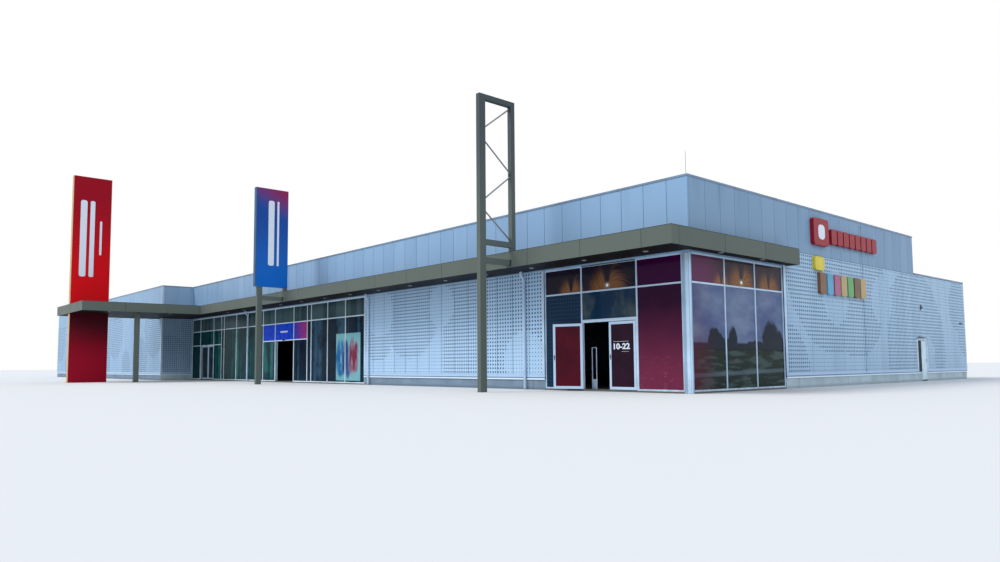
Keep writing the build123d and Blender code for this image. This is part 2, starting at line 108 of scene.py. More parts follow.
class Finish:
    """One material: its Principled shader, and the nodes that feed it."""

    def __init__(self, name, **constants):
        self.material = bpy.data.materials.new(name)
        self.material.use_nodes = True
        self.tree = self.material.node_tree
        self.shader = self.tree.nodes["Principled BSDF"]
        for socket, value in constants.items():
            self.shader.inputs[socket.replace("_", " ")].default_value = value
        self.spot = self.node("ShaderNodeTexCoord", {}, {}, "Object")
        split = self.node("ShaderNodeSeparateXYZ", {}, {0: self.spot}).socket.node
        self.x, self.y, self.z = (Value(self, split.outputs[axis]) for axis in range(3))

    def node(self, kind, settings, inputs, output=0):
        made = self.tree.nodes.new(kind)
        for name, value in settings.items():
            setattr(made, name, value)
        for name, value in inputs.items():
            self.feed(made.inputs[name], value)
        return Value(self, made.outputs[output])

    def feed(self, socket, value):
        if isinstance(value, Value):
            self.tree.links.new(value.socket, socket)
        else:
            socket.default_value = value

    def use(self, **values):
        for name, value in values.items():
            self.feed(self.shader.inputs[name.replace("_", " ")], value)

    def noise(self, scale, detail=3.0, stretch=(1.0, 1.0, 1.0), shift=0.0):
        """Soft noise from 0 to 1, stretched along the axes."""
        inputs = {0: self.spot, "Location": (shift, shift, shift), "Scale": stretch}
        place = self.node("ShaderNodeMapping", {}, inputs)
        return self.node("ShaderNodeTexNoise", {}, {"Vector": place, "Scale": scale, "Detail": detail})

    def chance(self, number):
        """A value from 0 to 1 that is one and the same for each whole number."""
        return self.node("ShaderNodeTexWhiteNoise", {"noise_dimensions": "1D"}, {"W": number})

    def mix(self, a, b, share):
        """Colour a, going to colour b with the share."""
        return self.node("ShaderNodeMix", {"data_type": "RGBA"}, {0: share, 6: a, 7: b}, 2)

    def darken(self, colour, amount):
        """A colour taken down towards black by a share."""
        return self.mix(colour, (0.0, 0.0, 0.0, 1.0), amount)

    def relief(self, height, depth, strength=1.0):
        inputs = {"Height": height, "Distance": depth, "Strength": strength}
        self.use(Normal=self.node("ShaderNodeBump", {}, inputs))

    def side_on(self):
        """1 on faces that look to the right or the left, 0 on the others."""
        normal = self.node("ShaderNodeNewGeometry", {}, {}, "Normal")
        across = self.node("ShaderNodeSeparateXYZ", {}, {0: normal})
        return abs(across) > 0.7

    def by_side(self, ahead, aside):
        """One value on front and rear faces, and another on the side faces."""
        return ahead + (aside - ahead) * self.side_on()

    def along(self):
        """Distance along a wall: X on front and rear faces, Y on the side faces."""
        return self.by_side(self.x, self.y)


def paint(red, green, blue):
    """Linear colour of a paint given in 8-bit display values."""
    tones = [tone / 255 for tone in (red, green, blue)]
    return tuple(t / 12.92 if t < 0.04045 else ((t + 0.055) / 1.055) ** 2.4 for t in tones) + (1.0,)


def coat(finish, *names):
    """Give CAD nodes their finish."""
    for name in names:
        for material_slot in nodes[name].material_slots:
            material_slot.material = finish.material


def concrete(name, front_tone, side_tone, joint_step):
    """Cast concrete with pores, rain streaks, a splash band and butt joints; front and rear faces take their
    own tone, for painted shade.
    """
    f = Finish(name, Specular_IOR_Level=0.3)
    cloud = f.noise(9, 4)
    fine = f.noise(160, 5)
    streak = f.noise(22, 3, (1, 1, 0.05)).between(0.52, 0.75)
    run_off = streak * f.z.between(0.0, 0.05)
    splash = 1 - (f.z + (cloud - 0.5) * 0.02).between(0.002, 0.016)
    joint = f.along().lines(joint_step, butt_joint, joint_step / 2 - butt_shift)
    # Front and rear faces in their own tone: on the plinths it is darker than the sides, painted shade.
    colour = f.mix(paint(*front_tone), paint(*side_tone), f.side_on())
    colour = f.darken(colour, cloud.between(0.35, 0.7) * 0.24)
    colour = f.mix(colour, paint(214, 220, 222), fine.between(0.5, 0.8) * 0.14)
    colour = f.darken(colour, (run_off * 0.22 + splash * 0.3 + joint * 0.6).at_most(0.8))
    f.use(Base_Color=colour, Roughness=0.82 + fine * 0.12)
    f.relief(fine * 0.5 + cloud - joint * 1.5, 0.0009, 0.7)
    return f


plinth_concrete = concrete("plinth_concrete", (124, 145, 164), (182, 200, 208), beam_length)
coat(plinth_concrete, "plinth_hall", "plinth_rear", "plinth_wing")
slab_concrete = concrete("slab_concrete", (112, 112, 110), (112, 112, 110), slab_bay)
coat(slab_concrete, "floor_hall", "floor_wing")

# Lower walls at the corner: white coated sheet pierced with rows of square holes, fixed over dark wall
# panels. Fields of large holes make big rounded shapes between fields of small ones. The side's sheet is
# painted in darker tones than the front's, as painted shade.
hole_pitch = 0.01657
front_rise = 0.01612
side_rise = 0.01625
panel_width = 6 * hole_pitch
large_hole = 0.0072
small_hole = 0.0038
sheet_gap = 0.0002
sheet_thickness = 0.0009
upright = Matrix.Rotation(math.radians(90), 4, "X")
to_the_side = Matrix.Rotation(math.radians(90), 4, "Z") @ upright


def piece(name, bm, finish, body="building"):
    """Make a finished mesh a piece of the object that rides on its body."""
    bmesh.ops.recalc_face_normals(bm, faces=bm.faces)
    mesh = bpy.data.meshes.new(name)
    bm.to_mesh(mesh)
    bm.free()
    made = bpy.data.objects.new(name, mesh)
    bpy.context.collection.objects.link(made)
    mesh.materials.append(finish.material)
    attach(made, body)


def mottled(name, light, dull, scale, detail, roughness, spread, **constants):
    """Finish in two near tones, with a gloss that wanders with them."""
    f = Finish(name, **constants)
    cloud = f.noise(scale, detail)
    f.use(Base_Color=f.mix(paint(*light), paint(*dull), cloud), Roughness=roughness + cloud * spread)
    return f


def wear(f, run):
    """Dust in upright streaks, and wear that follows it and differs from panel to panel."""
    dust = f.noise(14, 4, (1, 1, 0.12))
    return dust, f.chance((run / panel_width).floor()) * 0.5 + dust.between(0.4, 0.8) * 0.5


def sheet_coat(name, light, dull, first_seam, seam_share):
    """White coat of the pierced sheet. Its panels meet in seams that follow a first one."""
    f = Finish(name, Specular_IOR_Level=0.2)
    run = f.along() - first_seam
    seam = run.lines(panel_width, 0.03 * panel_width)
    dust, worn = wear(f, run)
    colour = f.mix(paint(*light), paint(*dull), worn)
    f.use(Base_Color=f.mix(colour, paint(70, 98, 130), seam * seam_share), Roughness=0.42 + dust * 0.12)
    f.relief(f.noise(7, 1) * 0.35 - seam * 1.2, 0.0012, 0.8)
    return f


def near_any(run, height, circles):
    """Whether a place lies in any of the circles."""
    return any(math.hypot(run - x, height - y) < radius for x, y, radius in circles)


def front_holes_large(run, height):
    """Whether a place on the front has large holes: all the right end, and two rounded fields."""
    if near_any(run, height, ((-0.812, 0.118, 0.122), (-1.910, 0.375, 0.122), (-1.380, 0.380, 0.098))):
        return False
    return run > -1.360 or near_any(run, height, ((-1.640, 0.375, 0.240), (-1.940, 0.285, 0.160)))


def side_holes_large(run, height):
    """Whether a place on the side has large holes: rounded fields, one of them cut off at its left."""
    if near_any(run, height, ((1.094, 0.378, 0.118), (1.580, 0.393, 0.115), (2.123, 0.111, 0.130))):
        return False
    fields = [(1.060, 0.560, 0.420), (1.300, 0.440, 0.320), (0.634, 0.059, 0.199)]
    fields += [(2.635, 0.414, 0.146), (2.734, 0.247, 0.115)]
    if run > 1.630:
        fields.append((1.977, 0.142, 0.428))
    return near_any(run, height, fields)


def at_side_door(run, height):
    """Whether a place lies in the opening for the side door."""
    return 2.002 < run < 2.146 and height < 0.2230


def thicken(bm, faces, offset):
    """Extrude faces, and move the new ones by an offset."""
    made = bmesh.ops.extrude_face_region(bm, geom=faces)
    moved = [part for part in made["geom"] if isinstance(part, bmesh.types.BMVert)]
    bmesh.ops.translate(bm, vec=offset, verts=moved)


def pierced_sheet(name, finish, first, holes, rise, holes_large, turn, is_open=lambda run, height: False):
    """Sheet of square cells with a hole in each, made flat and turned up against its wall."""
    start, foot = first
    columns, rows = holes
    bm = bmesh.new()
    bmesh.ops.create_grid(bm, x_segments=columns, y_segments=rows, size=0.5)
    bmesh.ops.scale(bm, vec=(columns * hole_pitch, rows * rise, 1.0), verts=bm.verts)
    middle = (start + (columns - 1) * hole_pitch / 2, foot + (rows - 1) * rise / 2, sheet_gap)
    bmesh.ops.translate(bm, vec=middle, verts=bm.verts)
    left_out, large, small = [], [], []
    for face in bm.faces:
        run, height = face.calc_center_median().xy
        kind = left_out if is_open(run, height) else large if holes_large(run, height) else small
        kind.append(face)
    bmesh.ops.delete(bm, geom=left_out, context="FACES")
    for cells, width in ((large, large_hole), (small, small_hole)):
        bmesh.ops.inset_individual(bm, faces=cells, thickness=(rise - width) / 2, use_even_offset=True)
    bmesh.ops.delete(bm, geom=large + small, context="FACES")
    thicken(bm, bm.faces[:], (0.0, 0.0, sheet_thickness))
    bmesh.ops.transform(bm, matrix=Matrix.Translation(corner) @ turn, verts=bm.verts)
    piece(name, bm, finish)


backing = mottled("wall_backing", (66, 86, 112), (54, 72, 96), 30, 3, 0.7, 0.15, Specular_IOR_Level=0.2)
coat(backing, "front_wall", "side_wall_front", "side_wall_rear", "side_door_lintel")
front_sheet = sheet_coat("front_sheet", (176, 207, 234), (162, 195, 226), corner.x - 0.9800, 0.8)
front_first = (-2.05248, 0.07073)
pierced_sheet("front_cladding", front_sheet, front_first, (82, 26), front_rise, front_holes_large, upright)
# Darker copy of the front sheet's coat: painted shade on the side.
shaded_side_sheet = sheet_coat("shaded_side_sheet", (166, 194, 218), (150, 180, 206), corner.y + 0.064, 0.35)
side_first = (0.66280, 0.06850)
pierced_sheet(
    "side_cladding", shaded_side_sheet, side_first, (126, 30), side_rise, side_holes_large, to_the_side, at_side_door
)

# Walls away from the corner: the same sheet on the rear, the left end and the wing. They stand far off, so
# their holes and panel joints are shown in the coat. A smooth band with an open joint lies over them.
field_step = 1.1
first_row = 0.0035
sheet_foot = 0.061
band_foot = 0.545
band_joint = 0.5492
f = Finish("plain_sheet", Specular_IOR_Level=0.12)
run = f.along() - corner.x
column = (run / hole_pitch + 0.5).floor() * hole_pitch
row = ((f.z - first_row) / side_rise + 0.5).floor() * side_rise + first_row
large = 0.0
for middle, height, radius in ((0.25, 0.16, 0.2), (0.6, 0.42, 0.24), (0.95, 0.12, 0.13)):
    reach = (column % field_step - middle) ** 2 + (row - height) ** 2
    large = (reach < radius * radius).at_least(large)
across = abs(run - column).at_least(abs(f.z - row))
half_hole = large * ((large_hole - small_hole) / 2) + small_hole / 2
cladding = f.z < band_foot
hole = (across < half_hole) * (f.z > sheet_foot) * cladding
line = (abs(f.z - band_joint) < 0.0011).at_least(run.lines(panel_width, 0.001, 0.0012) * 0.7)
dust, worn = wear(f, run)
band = f.mix(paint(146, 175, 203), paint(136, 165, 194), worn)
tone = f.mix(band, f.mix(paint(154, 184, 212), paint(142, 172, 201), worn), cladding)
tone = f.mix(tone, paint(56, 76, 100), hole * 0.92)
f.use(Base_Color=f.mix(tone, paint(84, 112, 144), line * 0.85), Roughness=0.42 + dust * 0.12 + hole * 0.3)
f.relief(f.noise(7, 1) * 0.35 - hole - line * 1.2, 0.0012, 0.8)
coat(f, "rear_wall", "wing_front_wall", "wing_rear_wall")

# Foot flashing and end trims: folded white sheet. The flashing runs along the foot of every clad wall and
# drips over the plinth, and slim angles close the ends, the corners and the side doorway.
front_left, front_right = -2.073, -0.692
side_start = 0.640
doorway_start, doorway_end = 2.012, 2.136
hall_left, hall_rear, rear = -4.700, 2.000, 2.750
wing_left, wing_front = -8.360, -0.235
wall_runs = (
    ((front_left, 0.0), (front_right, 0.0), (0, -1)),
    ((0.0, side_start), (0.0, doorway_start), (1, 0)),
    ((0.0, doorway_end), (0.0, rear), (1, 0)),
    ((hall_left, rear), (0.0, rear), (0, 1)),
    ((hall_left, hall_rear), (hall_left, rear), (-1, 0)),
    ((hall_left, wing_front), (hall_left, 0.0), (1, 0)),
    ((wing_left, wing_front), (hall_left, wing_front), (0, -1)),
    ((wing_left, wing_front), (wing_left, hall_rear), (-1, 0)),
    ((wing_left, hall_rear), (hall_left, hall_rear), (0, 1)),
)
drip = (
    (0.0, 0.0630), (0.0012, 0.0628), (0.0012, 0.0494), (0.0004, 0.0490), (0.0004, 0.0484), (0.0016, 0.0478),
    (0.0016, 0.0424), (0.0019, 0.0418), (0.0019, 0.0405), (0.0, 0.0430),
)
trim_foot = 0.0628
hall_trim_top = 0.5475
wing_trim_top = 0.74
trim = 0.0015


def add_run(bm, profile, start, end, outward):
    """Folded strip: a profile of (distance out, height) drawn along a wall in plan."""
    first, last, out = (Vector((*pair, 0.0)) for pair in (start, end, outward))
    ring = [bm.verts.new(corner + first + out * reach + Vector((0, 0, height))) for reach, height in profile]
    thicken(bm, [bm.faces.new(ring)], last - first)


def add_cuboid(bm, x, y, z):
    """Cuboid between limits in X, Y and Z, of which it gives the edges."""
    made = bmesh.ops.create_cube(bm, size=1.0)["verts"]
    bmesh.ops.scale(bm, vec=(x[1] - x[0], y[1] - y[0], z[1] - z[0]), verts=made)
    middle = Vector((sum(x) / 2, sum(y) / 2, sum(z) / 2))
    bmesh.ops.translate(bm, vec=corner + middle, verts=made)
    return list({edge for vert in made for edge in vert.link_edges})


def add_block(bm, x, y, z, chamfer=0.0005):
    """Block between limits in X, Y and Z with broken edges."""
    edges = add_cuboid(bm, x, y, z)
    bmesh.ops.bevel(bm, geom=edges, offset=chamfer, affect="EDGES", segments=1, profile=0.5, material=-1)


def powder_coat(name, tone, roughness=0.38):
    """Coated metal with faint orange peel, uneven gloss and dust towards the ground."""
    f = Finish(name, Specular_IOR_Level=0.35)
    cloud = f.noise(11, 3)
    grime = (1 - f.z.between(0.0, 0.07)) * f.noise(60, 4).between(0.4, 0.75)
    colour = f.mix(paint(*tone), paint(*[t * 0.9 for t in tone]), cloud.between(0.35, 0.75))
    f.use(Base_Color=f.mix(colour, paint(118, 120, 114), grime * 0.4), Roughness=roughness + cloud * 0.14)
    f.relief(f.noise(900, 2) * 0.3 + cloud, 0.00025, 0.5)
    return f


white_coat = powder_coat("white_coat", (189, 213, 235))
f = Finish("flashing_coat", Specular_IOR_Level=0.3)
dust = f.noise(14, 4, (1, 1, 0.12))
tone = f.mix(paint(176, 205, 232), paint(166, 195, 224), dust)
# The drip's lower edge is painted lighter as a highlight, and the band above it darker as shade.
lip_light_and_shade = f.mix(paint(150, 180, 206), paint(226, 240, 250), f.z < 0.0452)
tone = f.mix(lip_light_and_shade, tone, f.z > 0.0478)
# Dark lines in the groove and under the sheet's foot are painted shadow.
painted_shadow_lines = (abs(f.z - 0.0490) < 0.0015).at_least(f.z > 0.0622)
f.use(Base_Color=f.mix(tone, paint(76, 104, 134), painted_shadow_lines * 0.9), Roughness=0.36 + dust * 0.12)
f.relief(f.noise(7, 1), 0.0008, 0.5)
bm = bmesh.new()
for start, end, outward in wall_runs:
    add_run(bm, drip, start, end, outward)
piece("foot_flashing", bm, f)

bm = bmesh.new()
for xs in ((-0.7045, front_right), (front_left, -2.0600)):
    add_block(bm, xs, (-trim, 0.001), (trim_foot, 0.4815))
add_block(bm, (-0.001, trim), (side_start, 0.6555), (trim_foot, hall_trim_top))
for ys in ((1.9960, doorway_start), (doorway_end, 2.1465)):
    add_block(bm, (-0.001, trim), ys, (trim_foot, 0.2225))
add_block(bm, (-0.001, trim), (1.9960, 2.1465), (0.2150, 0.2235))
for x, y, top, inward_x, inward_y in (
    (0.0, rear, hall_trim_top, -1, -1),
    (hall_left, wing_front, wing_trim_top, -1, 1),
    (wing_left, wing_front, wing_trim_top, 1, 1),
    (wing_left, hall_rear, wing_trim_top, 1, -1),
):
    for width_x, width_y in ((0.0105, 0.0005), (0.0005, 0.0105)):
        xs = sorted((x - inward_x * trim, x + inward_x * width_x))
        ys = sorted((y - inward_y * trim, y + inward_y * width_y))
        add_block(bm, xs, ys, (trim_foot, top))
piece("end_trims", bm, white_coat)

# Upper walls: flat white cassettes hung side by side. They differ a little in tone, have dark open joints
# and faint run-off under the coping, and their side faces are painted darker as shade.
f = Finish("smooth_panel", Specular_IOR_Level=0.14)
side = f.side_on()
place = f.by_side((f.x - (corner.x - 0.085)) / 0.1, (f.y - (corner.y + 0.106)) / 0.096)
joint = place.lines(1.0, 0.020)
panel = f.chance(place.floor())
wash = f.noise(16, 4, (1, 1, 0.08))
run_off = wash.between(0.5, 0.8) * f.z.between(0.6, 0.745)
colour = f.mix(paint(142, 175, 206), paint(131, 164, 197), panel * 0.6 + wash * 0.4)
# Side faces are painted darker: painted shade.
colour = f.mix(colour, paint(119, 145, 170), side * 0.65)
colour = f.darken(colour, run_off * 0.14 + joint * (0.6 - side * 0.22))
f.use(Base_Color=colour, Roughness=0.34 + panel * 0.08 + wash * 0.08)
f.relief(f.noise(5, 1) + f.noise(700, 1) * 0.05, 0.002, 0.35)
coat(f, "front_parapet", "side_parapet", "rear_step_wall")

# Roofs and copings: grey membrane in welded laps, with faint ponding marks, inside folded white caps.
# A short cover sits over each joint of the caps.
f = Finish("roof_membrane")
lap = f.y.lines(0.1, 0.003, 0.05)
pond = f.noise(2.2, 5)
grit = f.noise(120, 4)
tone = f.mix(paint(100, 102, 104), paint(112, 113, 112), pond.between(0.4, 0.7))
tone = f.mix(tone, paint(74, 76, 79), lap * 0.7)
f.use(Base_Color=f.darken(tone, grit * 0.18), Roughness=0.78 + grit * 0.15)
f.relief(grit * 0.4 + lap + pond, 0.001, 0.6)
coat(f, "roof_hall", "roof_wing", "roof_rear")


def about(middle, half):
    """Limits at both sides of a middle."""
    return (middle - half, middle + half)


coping_coat = powder_coat("coping_coat", (116, 140, 164), 0.3)
coat(coping_coat, "coping_hall", "coping_wing", "coping_rear")
cap_step = 0.3
cap_height = (0.7395, 0.7476)
bm = bmesh.new()
for n in range(1, 15):
    add_block(bm, about(-cap_step * n, 0.004), (-0.0026, 0.0226), cap_height, 0.0003)
for n in range(1, 7):
    add_block(bm, (-0.0226, 0.0026), about(cap_step * n, 0.004), cap_height, 0.0003)
piece("coping_joints", bm, coping_coat)

# Glazed corner: white coated post and frames round panes with a coloured film, dark red at the right,
# blue-black at the left and violet at the side. The side's lower panes carry a painted reflection of sky,
# ground and dark masses, and the front's panes painted reflections in patches and painted glints. The glow
# of small lamps behind the lights over the doors is painted on them, and slim cover strips close the post's
# joints.
transom = 0.378
lamp_height = 0.396
ray_height = 0.372
left_bay = -0.493
right_bay = -0.227
cover_height = (0.001, 0.476)
shade_from = 0.4755
f = Finish("head_coat_painted_shade", Specular_IOR_Level=0.35)
cloud = f.noise(11, 3)
# Above this height the white head is painted dark grey-olive: painted shade under the canopy.
tone = f.mix(paint(176, 198, 220), paint(70, 72, 68), f.z > shade_from)
f.use(Base_Color=tone, Roughness=0.38 + cloud * 0.14)
f.relief(f.noise(900, 2) * 0.3 + cloud, 0.00025, 0.5)
coat(f, "corner_frame_head")
coat(powder_coat("post_coat", (146, 176, 203)), "corner_post")
coat(white_coat, "corner_frame_sides", "corner_side_frame")
bm = bmesh.new()
add_block(bm, (-0.0165, -0.0035), (-0.0012, 0.0005), cover_height, 0.0004)
add_block(bm, (-0.0018, 0.0012), (-0.0003, 0.0060), cover_height, 0.0004)
piece("post_covers", bm, powder_coat("cover_coat", (192, 219, 240)))


def painted_lamp_glow(f, colour, run, lamps):
    """Colour with a painted lamp glow: soft amber rays that spread on both sides of each lamp, and a white
    spot on the first.
    """
    lit = 0.0
    for middle, reach in lamps:
        out, rise = abs(run - middle), f.z - ray_height
        turned = f.node("ShaderNodeMath", {"operation": "ARCTAN2"}, {0: rise, 1: out})
        strands = {"W": turned + run * 9, "Scale": 13.0}
        rays = f.node("ShaderNodeTexNoise", {"noise_dimensions": "1D"}, strands)
        far = (out ** 2 + rise ** 2) ** 0.5 / reach + (rays - 0.5) * 0.9
        fan = (1 - far.between(0.5, 1.05)) * (1 - turned.between(1.15, 1.45))
        lit = (fan * (0.35 + rays.between(0.4, 0.62) * 0.65)).at_least(lit)
    colour = f.mix(colour, paint(176, 118, 62), lit * (f.z > transom) * 0.75)
    spot = (run - lamps[0][0]) ** 2 + (f.z - lamp_height) ** 2
    colour = f.mix(colour, paint(190, 176, 160), (1 - spot.between(0.0, 0.0003)) * 0.4)
    return f.mix(colour, paint(232, 244, 250), 1 - spot.between(0.00001, 0.00006))


def glaze(f, colour, roughness, cloud):
    """Give a pane its colour, a gloss that wanders a little, and the faint waves of float glass."""
    f.use(Base_Color=colour, Roughness=roughness + cloud * 0.05)
    f.relief(f.noise(3, 1), 0.0006, 0.2)


f = Finish("front_film_painted_reflections", Specular_IOR_Level=0.06)
x = f.x - corner.x
cloud = f.noise(9, 3)
top_light = f.z > transom
deep = (f.z.between(0.0, 0.36) + (cloud - 0.5) * 0.35).at_most(1.0)
red = f.mix(paint(108, 40, 66), paint(44, 8, 42), deep)
# Lighter speckles low on the red film are painted glints.
glints = f.noise(38, 4, (1, 1, 1.8)).between(0.56, 0.72) * (1 - f.z.between(0.05, 0.17))
red = f.mix(red, paint(140, 78, 104), glints * 0.4)
red = f.mix(red, f.mix(paint(44, 4, 46), paint(60, 4, 58), cloud), top_light)
# Cloudy patches on the dark film are a painted reflection.
reflected_haze = f.noise(13, 4, (1, 1, 0.7)).between(0.48, 0.68)
dark = f.mix(paint(16, 46, 72), paint(74, 84, 84), reflected_haze * (x > left_bay) * 0.7)
dark = f.mix(dark, paint(34, 22, 34), top_light * 0.85)
dot_x, dot_z = (x + 0.7) % 0.0146 - 0.0073, f.z % 0.0153 - 0.0076
dots = (dot_x ** 2 + dot_z ** 2 < 0.0016 ** 2) * (x < left_bay) * (1 - top_light)
dark = f.mix(dark, paint(92, 110, 124), dots * 0.6)
dark = painted_lamp_glow(f, dark, x, ((-0.3645, 0.105), (-0.5480, 0.075)))
glaze(f, f.mix(dark, red, x > right_bay), 0.07, cloud)
coat(f, "corner_front_glass")

f = Finish("side_film_painted_reflection", Specular_IOR_Level=0.06)
y = f.y - corner.y
cloud = f.noise(7, 3, (1, 1, 1.6))
ragged = (f.noise(42, 4) - 0.5) * 1.1
# The lower panes carry a painted reflection: sky above a dark band and dark masses, over ground with a pale
# strip.
sky = f.mix(paint(78, 92, 132), paint(116, 132, 158), f.noise(6, 3, (1, 1, 2.2)).between(0.3, 0.75))
ground = f.mix(paint(26, 42, 38), paint(60, 78, 76), f.noise(8, 4, (1, 1, 6.0)).between(0.48, 0.62))
reflected_pale_strip = 1 - abs(f.z - 0.060 - y * 0.02).between(0.004, 0.010)
ground = f.mix(ground, paint(92, 108, 118), reflected_pale_strip * 0.6)
reflected_dark_mass = 1 - abs(f.z - 0.160).between(0.009, 0.018)
for middle, height, half_width, half_height in (
    (0.150, 0.172, 0.040, 0.058), (0.185, 0.166, 0.030, 0.040), (0.273, 0.174, 0.030, 0.060),
    (0.235, 0.160, 0.060, 0.030), (0.540, 0.180, 0.066, 0.080), (0.600, 0.172, 0.040, 0.054),
    (0.430, 0.160, 0.080, 0.024),
):
    reach = ((y - middle) / half_width) ** 2 + ((f.z - height) / half_height) ** 2
    reflected_dark_mass = ((1 - (reach + ragged).between(0.7, 1.2)) * (f.z > 0.150)).at_least(reflected_dark_mass)
pane = f.mix(f.mix(ground, sky, f.z.between(0.150, 0.156)), paint(16, 28, 36), reflected_dark_mass * 0.94)
pane = f.mix(pane, paint(84, 20, 46), (1 - y.between(0.02, 0.20)) * (0.62 - f.z.between(0.1, 0.3) * 0.4))
upper = f.mix(paint(62, 54, 62), paint(98, 54, 84), 1 - y.between(0.1, 0.24))
upper = painted_lamp_glow(f, upper, y, ((0.3395, 0.105), (0.5350, 0.088), (0.2050, 0.060)))
glaze(f, f.mix(pane, upper, f.z > transom), 0.07, cloud)
coat(f, "corner_side_glass")

# Corner doors: white frame and a hinged pair of glazed leaves, the left one folded back against the
# panes. Each leaf has a lever on both faces of its free stile.
glass_foot = 0.018
corner_glass_head = 0.248
lever_height = 0.130
coat(white_coat, "corner_door_frame")


def leaf_coat(f, run, left, right, head, pane_light, pane_dark):
    """White stiles and rails round a glazed field between limits along the leaf."""
    field = (run > left) * (run < right) * (f.z > glass_foot) * (f.z < head)
    cloud = f.noise(12, 3)
    pane = f.mix(paint(*pane_light), paint(*pane_dark), cloud.between(0.35, 0.7))
    stile = f.mix(paint(190, 214, 236), paint(174, 197, 220), cloud)
    f.use(Base_Color=f.mix(stile, pane, field), Roughness=0.38 - field * 0.24 + cloud * 0.06)
    f.relief(f.noise(300, 2) * (1 - field), 0.0003, 0.4)
    return f


f = Finish("right_leaf", Specular_IOR_Level=0.1)
x = f.x - corner.x
coat(leaf_coat(f, x, -0.349, -0.245, corner_glass_head, (40, 12, 34), (24, 8, 24)), "corner_leaf_right")
hinge = corner + Vector((-0.485, 0.003, 0.0))
folded = math.radians(-160)
f = Finish("left_leaf", Specular_IOR_Level=0.1)
inputs = {0: f.spot, "Location": hinge, "Rotation": (0, 0, folded)}
unfolded = f.node("ShaderNodeMapping", {"vector_type": "TEXTURE"}, inputs)
run = f.node("ShaderNodeSeparateXYZ", {}, {0: unfolded})
coat(leaf_coat(f, run, 0.010, 0.114, corner_glass_head, (80, 8, 30), (66, 6, 27)), "corner_leaf_left")

dark_coat = powder_coat("dark_coat", (38, 42, 48), 0.4)


def add_lever(bm, x, y, z, reach, out=-1):
    """Lever handle on a plate, on a door face that looks to the front, or to the rear where out is 1."""
    plate = sorted((y - out * 0.0002, y + out * 0.0006))
    add_block(bm, about(x, 0.0016), plate, (z - 0.012, z + 0.008), 0.0002)
    add_block(bm, about(x, 0.0008), sorted((y, y + out * 0.0040)), about(z, 0.0008), 0.0002)
    grip = sorted((x - math.copysign(0.0008, reach), x + reach))
    add_block(bm, grip, sorted((y + out * 0.0031, y + out * 0.0045)), about(z, 0.0009), 0.0003)


for name, body, x, reach, turn in (
    ("right_lever", "corner_right", -0.354, 0.0115, 0.0),
    ("left_lever", "corner_left", -0.366, -0.0115, folded),
):
    bm = bmesh.new()
    add_lever(bm, x, 0.005, lever_height, reach)
    add_lever(bm, x, 0.010, lever_height, reach, 1)
    bmesh.ops.rotate(bm, cent=hinge, matrix=Matrix.Rotation(turn, 3, "Z"), verts=bm.verts)
    piece(name, bm, dark_coat, body)

# Opening hours and door gate: numerals cut from white film stand between two thin rules on the right leaf.
# A white gate of two posts, a bar and a foot stands on the floor just inside the open doorway.
white_print = mottled("white_print", (226, 234, 242), (206, 216, 228), 300, 2, 0.4, 0.1)
numerals = bpy.data.curves.new("opening_hours", "FONT")
numerals.body = "10-22"
numerals.size = 0.029
numerals.align_x = "CENTER"
numerals.align_y = "CENTER"
numerals.extrude = 0.0004
numerals.offset = 0.0010
draft = bpy.data.objects.new("numerals_draft", numerals)
bm = bmesh.new()
bm.from_mesh(draft.to_mesh())
bpy.data.objects.remove(draft)
bmesh.ops.remove_doubles(bm, verts=bm.verts, dist=1e-6)
bmesh.ops.scale(bm, vec=(1.2, 1.0, 1.0), verts=bm.verts)
leaf_face = Matrix.Translation(corner + Vector((-0.3035, 0.0062, 0.165))) @ upright
bmesh.ops.transform(bm, matrix=leaf_face, verts=bm.verts)
film_depth = (0.0060, 0.0066)
add_block(bm, (-0.3400, -0.2690), film_depth, (0.1835, 0.1845), 0.0001)
add_block(bm, (-0.3020, -0.2690), film_depth, (0.1465, 0.1473), 0.0001)
piece("opening_hours", bm, white_print, "corner_right")


def add_round(bm, place, radii, length, sides):
    """Upright round bar or disc about a place, with its lower and upper radius."""
    low, high = radii
    made = bmesh.ops.create_cone(bm, cap_ends=True, segments=sides, radius1=low, radius2=high, depth=length)
    bmesh.ops.translate(bm, vec=corner + Vector(place), verts=made["verts"])


bm = bmesh.new()
for x in (-0.4825, -0.4605):
    add_round(bm, (x, 0.050, 0.088), (0.0018, 0.0018), 0.156, 16)
add_block(bm, (-0.4843, -0.4587), (0.0485, 0.0515), (0.1640, 0.1665), 0.0008)
add_block(bm, (-0.4843, -0.4587), (0.0475, 0.0525), (0.006, 0.044), 0.0012)
piece("door_gate", bm, white_coat)

# Shop front: white frames in a lighter copy of the white coat, painted light, round dark glass with a
# painted reflection of faint green streaks and patches of painted shadow, grey-green lights above with
# painted shade towards their top, and two door heads. One head carries a printed banner, and a poster
# stands in two panes.
# Lighter copy of the white coat: painted light on the screen frames.
coat(powder_coat("lit_screen_coat", (222, 240, 252)), "storefront_frames", "entrance_heads")
f = Finish("shop_glass", Specular_IOR_Level=0.02, Alpha=0.94)
reed = f.noise(15, 4, (1, 1, 0.05))
cloud = f.noise(10, 3)
to_the_right = (f.x - corner.x).between(-3.30, -3.10)
# Green streaks are a painted reflection, and the darker cloudy patches painted shadow.
streak = f.mix(paint(36, 112, 108), paint(52, 84, 108), to_the_right)
lower = f.mix(paint(14, 60, 66), paint(24, 42, 58), to_the_right)
lower = f.mix(lower, streak, reed.between(0.5, 0.66))
shadow = f.mix(paint(14, 42, 50), paint(14, 24, 36), to_the_right)
lower = f.mix(lower, shadow, cloud.between(0.48, 0.66) * 0.7)
slat = f.z.lines(0.012, 0.002, 0.006)
upper = f.mix(paint(58, 80, 86), paint(80, 104, 110), reed.between(0.4, 0.6))
